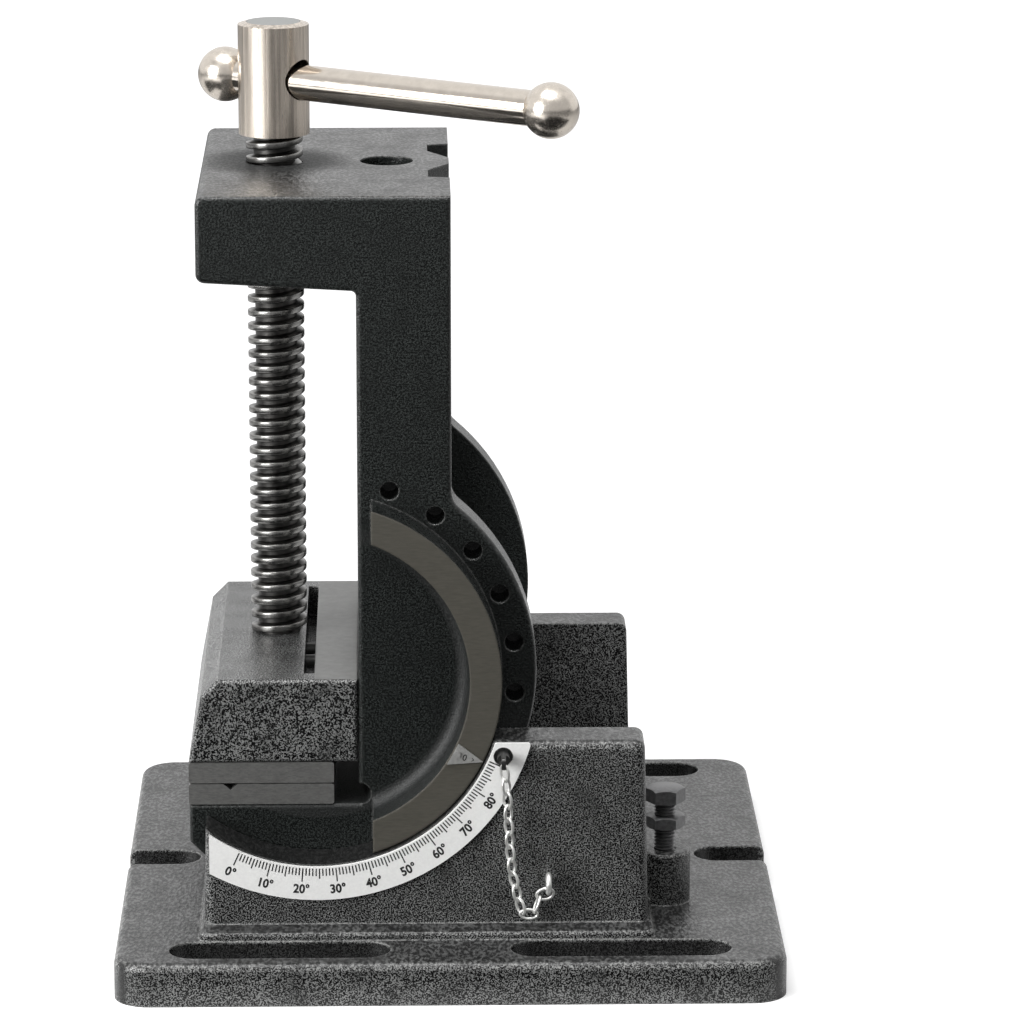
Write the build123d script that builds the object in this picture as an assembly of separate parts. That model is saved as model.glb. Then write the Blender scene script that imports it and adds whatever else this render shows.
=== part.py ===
from build123d import *
from math import cos, radians, sin, sqrt
import os

os.makedirs("parts", exist_ok=True)

# Tilting vise for a drill press table, in millimetres.
# X runs to the right, Y away from the front cheek, Z up.
# The origin is the centre of the base underside.
# The screw stands upright, which is the 90 degree reading on the scale.

# Clearances between pieces that move on each other
slide_gap = 0.3
shaft_gap = 0.05
bar_gap = 0.1

# Base plate
base_length = 185.0
base_rim = 5.75
base_thick = 12.0
base_corner = 10.0
base_edge = 2.5
table_slot_width = 14.5
table_slot_length = 61.0
table_slot_span = 94.0
table_slot_clear = 0.25
side_slot_width = 14.0
side_slot_reach = 21.0

# Tilt axis, seen from the front
pivot_x = -36.6
pivot_z = 83.0

# Width of the body and of both jaws
jaw_width = 110.0

# Cheeks that stand on the base and cradle the trunnions
cheek_gap = 0.5
cheek_thick = 14.5
cheek_left_margin = 25.5
cheek_right_margin = 38.5
cheek_top = 66.5
cheek_edge = 2.5
cheek_draft = 1.4
plinth_height = 2.3
plinth_lip = 8.0
plinth_margin = 2.5

# Trunnion rings, raised on both sides of the body
ring_outer = 51.2
ring_inner = 42.3
ring_height = 13.0
ring_cut = 15.3
ring_root = 3.5

# Side flanges with the row of lock holes
flange_radius = 61.0
flange_thick = 12.0
flange_root = 6.0
lock_circle = 55.3
lock_angle = -21.6
lock_step = 15.0
lock_count = 7
lock_pin_diameter = 5.0
lock_hole_depth = 10.0

# Bed, measured from the tilt axis: u to the right, v up
rail_face = 11.5
bed_back = 37.5
deck_thick = 12.0
bed_slot_width = 34.0
rail_width = 30.0
ledge_drop = 3.0
bed_slot_bottom = -33.0
bed_slot_top = 104.0

# Nut block at the top of the bed
block_face = -32.2
block_top = 133.7
block_under = 107.3
block_draft = 2.5
block_round = 2.5
root_round = 1.5
cast_edge = 1.2
core_hole_diameter = 15.0
core_hole_u = 20.0
notch_depth = 6.0
notch_mouth_near = 4.5
notch_mouth_far = 26.5
notch_taper = 10.5

# Fixed jaw at the foot of the bed
jaw_top_u = -36.0
fixed_jaw_face = -38.4
fixed_jaw_back = -58.7
fixed_jaw_chamfer = 9.5
root_slot_depth = 3.3

# Jaw plates
plate_thick = 5.85
plate_depth = 40.5
plate_edge = 0.6
plate_groove_width = 4.2
plate_groove_depth = 1.7
plate_groove_u = -24.3
plate_screw_diameter = 6.0
plate_screw_length = 16.0
plate_screw_head = 10.0
plate_screw_span = 70.0
plate_screw_u = -14.0
plate_screw_sink = 3.3

# Moving jaw
moving_jaw_front = -26.4
moving_jaw_rear = -2.6
moving_jaw_lean = 3.6
moving_jaw_chamfer = 4.6
sole_depth = 12.0
sole_pocket_width = 3.0
sole_pocket_depth = 9.0
sole_pocket_wall = 7.0

# Keeper under the bed
keeper_thick = 6.0
keeper_width = 52.0
keeper_inset = 1.5
keeper_screw_diameter = 6.0
keeper_screw_length = 18.0
keeper_screw_span = 18.0
keeper_head_diameter = 10.0
keeper_head_height = 4.0

# Screw
screw_u = -11.5
screw_diameter = 16.0
screw_neck_diameter = 12.0
screw_neck_length = 17.0
screw_neck_chamfer = 1.0
screw_groove_diameter = 8.0
screw_groove_width = 4.4
screw_groove_middle = 8.0
retainer_diameter = 4.0
retainer_length = 30.0
spigot_diameter = 12.0
spigot_length = 8.0

# Hub and handle
hub_diameter = 20.0
hub_stand = 7.8
hub_height = 31.6
hub_chamfer = 2.3
hub_crown = 0.7
cross_hole_diameter = 11.5
bar_diameter = 10.0
bar_turn = -35.0
ball_diameter = 15.5
ball_span = 110.0
ball_spigot_diameter = 6.0
ball_bore_depth = 8.0

# Scale plate and pointer
scale_outer = 61.4
scale_margin = 0.4
scale_thick = 1.0
scale_corner = 0.7
pointer_tip = 51.1
pointer_tip_angle = -26.2
pointer_base = 42.8
pointer_high_angle = -23.9
pointer_low_angle = -32.8
pointer_thick = 0.6
rivet_radius = 43.7
rivet_angle = -27.5
rivet_diameter = 1.0
rivet_head = 1.8
rivet_depth = 3.0

# Lock pin, drawn back clear of the flange
lock_pin_clear = 0.4
lock_pin_stand = 9.0
lock_pin_neck = 3.4
lock_pin_eye = 2.2
lock_pin_hole = 1.8
lock_pin_lug = 1.2

# Chain and its eye screw
link_length = 5.7
link_width = 3.3
link_wire = 0.75
link_pitch = 3.7
chain_stand = 4.6
chain_side_x = 17.6
chain_side_z = 30.0
chain_low_x = 22.2
chain_low_z = 18.6
eye_x = 27.3
eye_z = 27.0
eye_radius = 3.2
eye_wire = 1.6
eye_shank = 6.0

# Stop bolt beside the right end of the front cheek
stop_offset = 7.0
stop_y = -42.0
stop_boss_diameter = 14.4
stop_boss_height = 15.0
stop_thread = 6.0
stop_across_flats = 10.0
stop_head_height = 4.0
stop_length = 33.0
stop_gap = 0.4
jam_nut_height = 3.5
jam_nut_lift = 6.5


def at_pivot(shape):
    """Moves a shape drawn about the tilt axis into the frame of the whole vise."""
    return Pos(pivot_x, 0, pivot_z) * shape


def across(outline, inner, outer):
    """Extrudes a front view from inner to outer on both sides of the middle plane."""
    front = extrude(Plane.XZ.offset(inner) * outline, outer - inner)
    return front + mirror(front, about=Plane.XZ)


def full_width(outline, width):
    """Extrudes a front view by the same amount to both sides of the middle plane."""
    return extrude(Plane.XZ * outline, width / 2, both=True)


def bar_y(radius, start, length):
    """A round bar that runs from Y = start towards the back."""
    return Pos(0, start, 0) * Rot(-90, 0, 0) * post(radius, length)


def post(radius, height):
    """A round bar that stands on its lower end."""
    return Cylinder(radius, height, align=(Align.CENTER, Align.CENTER, Align.MIN))


def save(shape, node):
    """Writes one node."""
    shape.label = node
    export_step(shape, "parts/" + node + ".step")


def polar(radius, angle):
    """A point at a distance from the tilt axis, at an angle above the horizontal."""
    return radius * cos(radians(angle)), radius * sin(radians(angle))


# What follows from the sizes above
side = jaw_width / 2
cheek_inner = side + cheek_gap
cheek_outer = cheek_inner + cheek_thick
cheek_left = cheek_left_margin - base_length / 2
cheek_right = base_length / 2 - cheek_right_margin
stop_x = cheek_right + stop_offset
table_slot_y = cheek_outer + plinth_lip + table_slot_clear + table_slot_width / 2
base_depth = 2 * (table_slot_y + table_slot_width / 2 + base_rim)
cradle_radius = ring_outer + slide_gap
deck_back = rail_face + deck_thick
hollow_half = side - flange_thick
sole_face = rail_face - slide_gap
tongue_half = bed_slot_width / 2 - slide_gap
tongue_end = deck_back + slide_gap
lock_hole_radius = lock_pin_diameter / 2 + shaft_gap
nut_radius = screw_diameter / 2 + shaft_gap
hub_bottom = block_top + hub_stand
bar_height = hub_bottom + hub_height / 2 - (cross_hole_diameter - bar_diameter) / 2 + bar_gap
ball_shoulder = sqrt(ball_diameter**2 - bar_diameter**2) / 2
ball_reach = (hub_diameter + ball_diameter) / 2 - (ball_diameter / 2 - ball_shoulder) / 2
far_height = 400.0


def make_base():
    plate = Box(base_length, base_depth, base_thick, align=(Align.CENTER, Align.CENTER, Align.MIN))
    plate = fillet(plate.edges().filter_by(Axis.Z), base_corner)
    plate = fillet(plate.faces().sort_by(Axis.Z)[-1].edges(), base_edge)

    # Cheeks with the round cradle cut in their tops
    block = make_face(Polyline(
        (cheek_left - cheek_draft, base_thick / 2),
        (cheek_right + cheek_draft, base_thick / 2),
        (cheek_right, cheek_top),
        (cheek_left, cheek_top),
        close=True,
    ))
    block = fillet(block.vertices().group_by(Axis.Y)[-1].sort_by(Axis.X)[-1], cheek_edge)
    cheeks = across(block, cheek_inner, cheek_outer)
    upright = cheeks.faces().filter_by(Axis.Y)
    outer_faces = upright.filter_by(lambda face: abs(face.center().Y) > cheek_outer - cheek_gap)
    rims = outer_faces.edges().filter_by(lambda edge: edge.center().Z > base_thick)
    cheeks = fillet(rims, cheek_edge)
    cradle = at_pivot(Rot(90, 0, 0) * Cylinder(cradle_radius, base_depth))
    cheeks -= cradle

    # Low plinth that the cheeks stand on
    plinth_length = cheek_right - cheek_left + 2 * plinth_margin
    plinth_middle = (cheek_right + cheek_left) / 2
    plinth = Pos(plinth_middle, 0, base_thick / 2) * Box(
        plinth_length, 2 * (cheek_outer + plinth_lip), base_thick / 2 + plinth_height,
        align=(Align.CENTER, Align.CENTER, Align.MIN))
    plinth = fillet(plinth.edges().filter_by(Axis.Z), base_edge)
    plinth = fillet(plinth.faces().sort_by(Axis.Z)[-1].edges(), plinth_height / 2)

    boss = Pos(stop_x, stop_y, base_thick / 2) * post(
        stop_boss_diameter / 2, stop_boss_height + base_thick / 2)
    boss = fillet(boss.edges().group_by(Axis.Z)[-1], plinth_height / 2)
    body = plate + plinth + cheeks + boss

    # Slots for the bolts of the drill press table
    for x in (-table_slot_span / 2, table_slot_span / 2):
        for y in (-table_slot_y, table_slot_y):
            slot = extrude(SlotOverall(table_slot_length, table_slot_width), far_height, both=True)
            body -= Pos(x, y, 0) * slot
    side_slot_length = 2 * side_slot_reach
    for turn in (0, 180):
        slot = extrude(SlotOverall(side_slot_length, side_slot_width), base_thick * 2, both=True)
        body -= Rot(0, 0, turn) * Pos(base_length / 2, 0, 0) * slot

    # Hole for the lock pin, thread for the stop bolt and seat of the eye screw
    pin_u, pin_v = polar(lock_circle, lock_angle)
    pin_bore = bar_y(lock_hole_radius, -cheek_outer - plinth_lip, cheek_thick * 2)
    body -= at_pivot(Pos(pin_u, 0, pin_v) * pin_bore)
    body -= Pos(stop_x, stop_y, base_thick / 2) * post(stop_thread / 2 + shaft_gap, far_height)
    body -= Pos(eye_x, 0, eye_z) * bar_y(eye_wire / 2, -cheek_outer - plinth_lip, plinth_lip + eye_shank)
    return body


def make_scale_plate():
    ring = Circle(scale_outer) - Circle(cradle_radius + scale_margin)
    left = cheek_left + scale_margin - pivot_x
    top = cheek_top - pivot_z
    window = Pos(left, top) * Rectangle(far_height, far_height, align=(Align.MIN, Align.MAX))
    face = ring & window
    face = fillet(face.vertices().group_by(Axis.Y)[-1], scale_corner)
    plate = extrude(Plane.XZ.offset(cheek_outer) * face, scale_thick)
    pin_u, pin_v = polar(lock_circle, lock_angle)
    hole = bar_y(lock_hole_radius + slide_gap / 2, -cheek_outer - plinth_lip, cheek_thick)
    return at_pivot(plate - Pos(pin_u, 0, pin_v) * hole)


def body_outline():
    """Side view of the nut block, the bed with its round flange and the fixed jaw."""
    outline = make_face(Polyline(
        (block_face, block_under + block_draft),
        (block_face, block_top),
        (bed_back, block_top),
        (bed_back, fixed_jaw_back),
        (jaw_top_u + fixed_jaw_chamfer, fixed_jaw_back),
        (jaw_top_u, fixed_jaw_back + fixed_jaw_chamfer),
        (jaw_top_u, fixed_jaw_face),
        (rail_face, fixed_jaw_face),
        (rail_face, block_under),
        close=True,
    ))
    flange = Circle(flange_radius) & (Pos(rail_face, fixed_jaw_back) * Rectangle(
        far_height, far_height, align=Align.MIN))
    below = Pos(rail_face, 0) * Rectangle(far_height, far_height, align=(Align.MIN, Align.MAX))
    outline = outline - (below - Circle(flange_radius)) + flange

    root_v = sqrt(flange_radius**2 - bed_back**2)
    rounds = [
        (block_face, block_top, block_round),
        (block_face, block_under + block_draft, block_round),
        (rail_face, block_under, root_round),
        (bed_back, root_v, flange_root),
    ]
    for corner_u, corner_v, radius in rounds:
        corner = outline.vertices().sort_by_distance((corner_u, corner_v))[0]
        outline = fillet(corner, radius)
    return outline


def make_vise_body():
    body = full_width(body_outline(), jaw_width)
    body = fillet(body.faces().filter_by(Axis.Y).edges(), cast_edge)

    # Hollow between the flanges, behind the deck
    hollow_length = block_under - fixed_jaw_back - flange_thick
    body -= Pos(deck_back, 0, block_under) * Box(
        far_height, 2 * hollow_half, hollow_length, align=(Align.MIN, Align.CENTER, Align.MAX))

    # Slot down the middle of the bed and the ledges beside it
    slot_length = bed_slot_top - bed_slot_bottom
    body -= Pos(rail_face, 0, bed_slot_bottom) * Box(
        2 * deck_thick, bed_slot_width, slot_length, align=(Align.CENTER, Align.CENTER, Align.MIN))
    body -= Pos(rail_face, 0, fixed_jaw_face + plate_thick) * Box(
        2 * ledge_drop, jaw_width - 2 * rail_width, block_under - fixed_jaw_face - plate_thick,
        align=(Align.CENTER, Align.CENTER, Align.MIN))

    # Relief where the fixed jaw meets the bed
    relief_length = root_slot_depth + 2 * plate_thick
    relief_middle = rail_face + root_slot_depth - relief_length / 2
    relief = Pos(relief_middle, fixed_jaw_face + plate_thick / 2) * SlotOverall(relief_length, plate_thick)
    body -= full_width(relief, 2 * jaw_width)

    # Trunnion rings, cut off level above the rails
    band = make_face(Polyline(
        (ring_outer, side - ring_root),
        (ring_outer, side + ring_height),
        (ring_inner, side + ring_height),
        (ring_inner, side),
        (ring_inner - 2 * ring_root, side),
        (ring_inner - 2 * ring_root, side - ring_root),
        close=True,
    ))
    band = fillet(band.vertices().sort_by_distance((ring_inner, side))[0], ring_root)
    ring = revolve(band, Axis.Y)
    ring &= Pos(ring_cut, 0, 0) * Box(
        far_height, far_height, far_height, align=(Align.MIN, Align.CENTER, Align.CENTER))
    body += ring + mirror(ring, about=Plane.XZ)

    # Nut thread, core hole and the two notches in the nut block
    body -= Pos(screw_u, 0, rail_face) * post(nut_radius, far_height)
    body -= Pos(core_hole_u, 0, block_under - deck_thick) * post(core_hole_diameter / 2, far_height)
    notch = make_face(Polyline(
        (bed_back + notch_depth, notch_mouth_near - notch_taper),
        (bed_back, notch_mouth_near),
        (bed_back - notch_depth, notch_mouth_near + notch_taper),
        (bed_back - notch_depth, notch_mouth_far - block_draft / 2),
        (bed_back + notch_depth, notch_mouth_far + block_draft / 2),
        close=True,
    ))
    cutter = Pos(0, 0, block_under - block_draft) * extrude(notch, far_height)
    body -= cutter
    body -= mirror(cutter, about=Plane.XZ)

    # Lock holes in the front flange, one for every fifteen degrees
    for step in range(lock_count):
        hole_u, hole_v = polar(lock_circle, lock_angle + step * lock_step)
        lock_hole = bar_y(lock_hole_radius, -side - ring_height, ring_height + lock_hole_depth)
        body -= Pos(hole_u, 0, hole_v) * lock_hole

    # Threads for the screws of the fixed jaw plate, and the seat of the pointer rivet
    for y in (-plate_screw_span / 2, plate_screw_span / 2):
        body -= Pos(plate_screw_u, y, fixed_jaw_face - plate_screw_length + plate_thick) * post(
            plate_screw_diameter / 2, plate_screw_length)
    body -= rivet_place() * bar_y(rivet_diameter / 2, -side - ring_height, rivet_depth)
    return at_pivot(body)


def rivet_place():
    """The pointer's rivet, seen from the front."""
    rivet_u, rivet_v = polar(rivet_radius, rivet_angle)
    return Pos(rivet_u, 0, rivet_v)


def make_plate(low):
    plate = Pos(jaw_top_u, 0, low) * Box(
        plate_depth, jaw_width, plate_thick, align=(Align.MIN, Align.CENTER, Align.MIN))
    plate = fillet(plate.edges().filter_by(Axis.Y), plate_edge)
    for y in (-plate_screw_span / 2, plate_screw_span / 2):
        plate -= Pos(plate_screw_u, y, low) * post(plate_screw_diameter / 2, plate_thick)
    return plate


def make_fixed_plate():
    low = fixed_jaw_face
    plate = make_plate(low)
    high = low + plate_thick
    groove = make_face(Polyline(
        (plate_groove_u - plate_groove_width / 2, high),
        (plate_groove_u + plate_groove_width / 2, high),
        (plate_groove_u, high - plate_groove_depth),
        close=True,
    ))
    plate -= full_width(groove, 2 * jaw_width)
    for y in (-plate_screw_span / 2, plate_screw_span / 2):
        plate -= Pos(plate_screw_u, y, high - plate_screw_sink) * post(
            plate_screw_head / 2, plate_screw_sink)
    return at_pivot(plate)


def make_moving_plate():
    low = moving_jaw_front - plate_thick
    plate = make_plate(low)
    for y in (-plate_screw_span / 2, plate_screw_span / 2):
        plate -= Pos(plate_screw_u, y, low) * post(plate_screw_head / 2, plate_screw_sink)
    return at_pivot(plate)


def make_plate_screws(seat, direction):
    """Two countersunk screws, with their heads sunk in the plate."""
    screws = []
    for y in (-plate_screw_span / 2, plate_screw_span / 2):
        head = post(plate_screw_head / 2, plate_screw_sink - slide_gap)
        shank = post(plate_screw_diameter / 2, plate_screw_length - plate_screw_sink)
        screw = Pos(0, 0, -plate_screw_sink) * head + Pos(0, 0, -plate_screw_length) * shank
        socket = extrude(RegularPolygon(plate_screw_diameter / 3, 6), plate_screw_sink, both=True)
        screw -= socket
        if direction < 0:
            screw = Rot(180, 0, 0) * screw
        screws.append(at_pivot(Pos(plate_screw_u, y, seat) * screw))
    return Compound(screws)


def make_moving_jaw():
    outline = make_face(Polyline(
        (jaw_top_u, moving_jaw_front),
        (jaw_top_u + moving_jaw_lean, moving_jaw_rear - moving_jaw_chamfer),
        (jaw_top_u + moving_jaw_lean + moving_jaw_chamfer, moving_jaw_rear),
        (sole_face, moving_jaw_rear),
        (sole_face, moving_jaw_front),
        close=True,
    ))
    jaw = full_width(outline, jaw_width)
    machined = sole_face - sole_depth
    jaw = fillet(jaw.faces().filter_by(Axis.Y).edges(), cast_edge)

    # Narrow pocket that parts the sole from the jaw
    pocket_length = jaw_width - 2 * sole_pocket_wall
    jaw -= Pos(machined, 0, moving_jaw_rear) * Box(
        sole_pocket_width, pocket_length, sole_pocket_depth, align=(Align.MAX, Align.CENTER, Align.MAX))

    # Tongue that runs in the bed slot
    tongue_length = moving_jaw_rear - moving_jaw_front - 2 * keeper_inset
    jaw += Pos(sole_face, 0, moving_jaw_front + keeper_inset) * Box(
        tongue_end - sole_face, 2 * tongue_half, tongue_length, align=(Align.MIN, Align.CENTER, Align.MIN))

    # Bearing for the neck of the screw
    jaw -= Pos(screw_u, 0, moving_jaw_rear - screw_neck_length - slide_gap) * post(
        screw_neck_diameter / 2 + shaft_gap, far_height)
    for place in retainer_places():
        jaw -= place * retainer()
    for place in keeper_screw_places():
        jaw -= place * post(keeper_screw_diameter / 2, keeper_screw_length)
    for y in (-plate_screw_span / 2, plate_screw_span / 2):
        jaw -= Pos(plate_screw_u, y, moving_jaw_front) * post(
            plate_screw_diameter / 2, plate_screw_length - plate_thick)
    return at_pivot(jaw)


def retainer():
    """One round pin that lies across the groove of the screw's neck."""
    return Rot(0, 90, 0) * Cylinder(retainer_diameter / 2, retainer_length)


def retainer_places():
    offset = screw_groove_diameter / 2 + retainer_diameter / 2 + slide_gap
    start = sole_face - retainer_length / 2
    height = moving_jaw_rear - screw_groove_middle
    return [Pos(start, y, height) for y in (-offset, offset)]


def keeper_screw_places():
    start = tongue_end - keeper_screw_length + keeper_thick
    height = (moving_jaw_front + moving_jaw_rear) / 2
    half = keeper_screw_span / 2
    return [Pos(start, y, height) * Rot(0, 90, 0) for y in (-half, half)]


def make_keeper():
    length = moving_jaw_rear - moving_jaw_front - 2 * keeper_inset
    plate = Pos(tongue_end, 0, moving_jaw_front + keeper_inset) * Box(
        keeper_thick, keeper_width, length, align=(Align.MIN, Align.CENTER, Align.MIN))
    plate = chamfer(plate.edges().filter_by(Axis.X), keeper_inset)
    for place in keeper_screw_places():
        plate -= place * post(keeper_screw_diameter / 2, keeper_screw_length)
    return at_pivot(plate)


def make_keeper_screws():
    screws = []
    for place in keeper_screw_places():
        shank = post(keeper_screw_diameter / 2, keeper_screw_length)
        head = Pos(0, 0, keeper_screw_length) * post(keeper_head_diameter / 2, keeper_head_height)
        socket = Pos(0, 0, keeper_screw_length + keeper_head_height) * extrude(
            RegularPolygon(keeper_screw_diameter / 2, 6), keeper_head_height / 2, both=True)
        screws.append(at_pivot(place * (shank + head - socket)))
    return Compound(screws)


def make_screw():
    neck_bottom = moving_jaw_rear - screw_neck_length
    rod = Pos(0, 0, moving_jaw_rear) * post(screw_diameter / 2, hub_bottom - moving_jaw_rear)
    neck = Pos(0, 0, neck_bottom) * post(screw_neck_diameter / 2, screw_neck_length)
    spigot = Pos(0, 0, hub_bottom) * post(spigot_diameter / 2, spigot_length)
    groove_bottom = moving_jaw_rear - screw_groove_middle - screw_groove_width / 2 - slide_gap
    collar = post(screw_diameter, screw_groove_width) - post(screw_groove_diameter / 2, screw_groove_width)
    screw = rod + neck + spigot - Pos(0, 0, groove_bottom) * collar
    screw = chamfer(screw.edges().group_by(Axis.Z)[0], screw_neck_chamfer)
    return at_pivot(Pos(screw_u, 0, slide_gap) * screw)


def make_hub():
    hub = Pos(0, 0, hub_bottom) * post(hub_diameter / 2, hub_height - hub_crown)
    crown = Cone(hub_diameter / 2, hub_diameter / 2 - hub_chamfer, hub_crown)
    hub += Pos(0, 0, hub_bottom + hub_height - hub_crown / 2) * crown
    hub -= Pos(0, 0, hub_bottom) * post(spigot_diameter / 2, spigot_length)
    cross = Rot(0, 90, 0) * Cylinder(cross_hole_diameter / 2, 2 * hub_diameter)
    hub -= Pos(0, 0, hub_bottom + hub_height / 2) * Rot(0, 0, bar_turn) * cross
    return at_pivot(Pos(screw_u, 0, slide_gap) * hub)


def handle_place():
    """The middle of the hub's cross hole, with X along the bar."""
    return Pos(screw_u, 0, bar_height + slide_gap) * Rot(0, 0, bar_turn)


def make_handle_bar():
    shoulder_span = ball_span - 2 * ball_shoulder
    bar = Rot(0, 90, 0) * Cylinder(bar_diameter / 2, shoulder_span)
    tenon_length = shoulder_span + 2 * ball_bore_depth
    tenon = Rot(0, 90, 0) * Cylinder(ball_spigot_diameter / 2, tenon_length)
    return at_pivot(handle_place() * Pos(ball_span / 2 - ball_reach, 0, 0) * (bar + tenon))


def make_ball(end):
    """A turned ball, flat where it meets the bar's shoulder."""
    ball = Sphere(ball_diameter / 2)
    ball -= Pos(-ball_shoulder, 0, 0) * Box(ball_diameter, ball_diameter, ball_diameter, align=(
        Align.MAX, Align.CENTER, Align.CENTER))
    bore = Rot(0, 90, 0) * Cylinder(ball_spigot_diameter / 2, 2 * ball_bore_depth)
    ball -= Pos(-ball_shoulder, 0, 0) * bore
    turned = ball if end > 0 else Rot(0, 0, 180) * ball
    middle = ball_span / 2 - ball_reach + end * ball_span / 2
    return at_pivot(handle_place() * Pos(middle, 0, 0) * turned)


def make_pointer():
    face = side + ring_height
    outline = make_face(Polyline(
        polar(pointer_tip, pointer_tip_angle),
        polar(pointer_base, pointer_high_angle),
        polar(pointer_base, pointer_low_angle),
        close=True,
    ))
    plate = extrude(Plane.XZ.offset(face) * outline, pointer_thick)
    return at_pivot(plate - pointer_rivet())


def pointer_rivet():
    """A small round-headed rivet that holds the pointer on the ring."""
    face = side + ring_height + pointer_thick
    head = bar_y(rivet_head / 2, -face - rivet_diameter / 2, rivet_diameter / 2)
    shank = bar_y(rivet_diameter / 2, -face, pointer_thick + rivet_depth)
    return rivet_place() * (head + shank)


def lock_pin_reach():
    """Y of the pin's inner end and of its outer end."""
    inner = -side - lock_pin_clear
    return inner, -cheek_outer - lock_pin_stand


def make_lock_pin():
    inner, outer = lock_pin_reach()
    radius = lock_pin_diameter / 2
    shaft = bar_y(radius, -cheek_outer, inner + cheek_outer)
    shaft = chamfer(shaft.edges().group_by(Axis.Y)[-1], radius / 4)
    neck = bar_y(lock_pin_neck / 2, outer, -cheek_outer - outer)
    neck = fillet(neck.edges().group_by(Axis.Y)[0], lock_pin_neck / 4)
    pin = shaft + neck
    side_flat = Pos(lock_pin_lug / 2, outer, 0) * Box(
        lock_pin_neck, 2 * lock_pin_eye, lock_pin_neck, align=(Align.MIN, Align.MIN, Align.CENTER))
    pin -= side_flat
    pin -= mirror(side_flat, about=Plane.YZ)
    pin -= Pos(0, outer + lock_pin_eye, 0) * Rot(0, 90, 0) * Cylinder(lock_pin_hole / 2, lock_pin_neck)
    pin_u, pin_v = polar(lock_circle, lock_angle)
    return at_pivot(Pos(pin_u, 0, pin_v) * pin)


def chain_line():
    """The hanging line of the chain, from the pin's eye down and up to the eye screw."""
    pin_u, pin_v = polar(lock_circle, lock_angle)
    top_x = pivot_x + pin_u
    top_y = lock_pin_reach()[1] + lock_pin_eye
    reach = (link_length - link_wire - link_pitch) / 2
    top_z = pivot_z + pin_v - reach
    end_z = eye_z - eye_radius + eye_wire + link_wire / 2 + slide_gap - reach
    low_y = -cheek_outer - chain_stand
    points = [
        (top_x, top_y, top_z),
        ((top_x + chain_side_x) / 2, (top_y + low_y) / 2, (top_z + chain_side_z) / 2),
        (chain_side_x, low_y, chain_side_z),
        (chain_low_x, low_y, chain_low_z),
        (eye_x, low_y, end_z),
    ]
    return Spline(*points, tangents=[(0, 0, -1), (0, 0, 1)])


def make_chain():
    """Links of one size, set in turn flat and edge on along the line."""
    line = chain_line()
    count = 2 * int(line.length / link_pitch / 2) + 1
    outer = SlotOverall(link_length, link_width)
    inner = SlotOverall(link_length - 2 * link_wire, link_width - 2 * link_wire)
    flat = extrude(outer - inner, link_wire / 2, both=True)
    links = []
    for number in range(count):
        share = (number + 0.5) / count
        middle = line.position_at(share)
        along = line.tangent_at(share)
        facing = along.cross(Vector(0, 1, 0)) if number % 2 else Vector(0, 1, 0)
        links.append(Plane(origin=middle, x_dir=along, z_dir=facing) * flat)
    return Compound(links)


def make_eye_screw():
    """Wire eye whose shank is driven into the front cheek."""
    ring = Rot(0, 90, 0) * Torus(eye_radius - eye_wire / 2, eye_wire / 2)
    front = -cheek_outer - chain_stand
    back = eye_radius - eye_wire / 2
    shank = bar_y(eye_wire / 2, back, chain_stand - back + eye_shank)
    return Pos(eye_x, front, eye_z) * (ring + shank)


def hexagon(height):
    outline = RegularPolygon(stop_across_flats / 2, 6, major_radius=False)
    return extrude(outline, height)


def make_stop_bolt():
    head_top = pivot_z - bed_back - stop_gap
    head = Pos(0, 0, head_top - stop_head_height) * hexagon(stop_head_height)
    shank = Pos(0, 0, head_top - stop_length) * post(stop_thread / 2, stop_length - stop_head_height)
    return Pos(stop_x, stop_y, 0) * (head + shank)


def make_jam_nut():
    nut = hexagon(jam_nut_height) - post(stop_thread / 2 + shaft_gap, jam_nut_height)
    return Pos(stop_x, stop_y, base_thick + stop_boss_height + jam_nut_lift) * nut


save(make_base(), "base_casting")
save(make_scale_plate(), "angle_scale")
save(make_eye_screw(), "chain_eye")
save(make_chain(), "chain_links")
save(make_lock_pin(), "lock_pin")
save(make_stop_bolt(), "stop_bolt")
save(make_jam_nut(), "jam_nut")
save(make_vise_body(), "vise_body")
save(make_fixed_plate(), "fixed_jaw_plate")
save(make_plate_screws(fixed_jaw_face + plate_thick, 1), "fixed_plate_screws")
save(make_pointer(), "tilt_pointer")
save(at_pivot(pointer_rivet()), "pointer_rivet")
save(make_moving_jaw(), "moving_jaw")
save(make_moving_plate(), "moving_jaw_plate")
save(make_plate_screws(moving_jaw_front - plate_thick, -1), "moving_plate_screws")
save(make_keeper(), "jaw_keeper")
save(make_keeper_screws(), "keeper_screws")
save(Compound([at_pivot(place * retainer()) for place in retainer_places()]), "screw_retainers")
save(make_screw(), "vise_screw")
save(make_hub(), "screw_hub")
save(make_handle_bar(), "handle_bar")
save(make_ball(1), "handle_ball_front")
save(make_ball(-1), "handle_ball_rear")
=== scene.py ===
from math import atan2, cos, hypot, pi, radians, sin, tan

import bmesh
import bpy
from mathutils import Matrix, Vector


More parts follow.
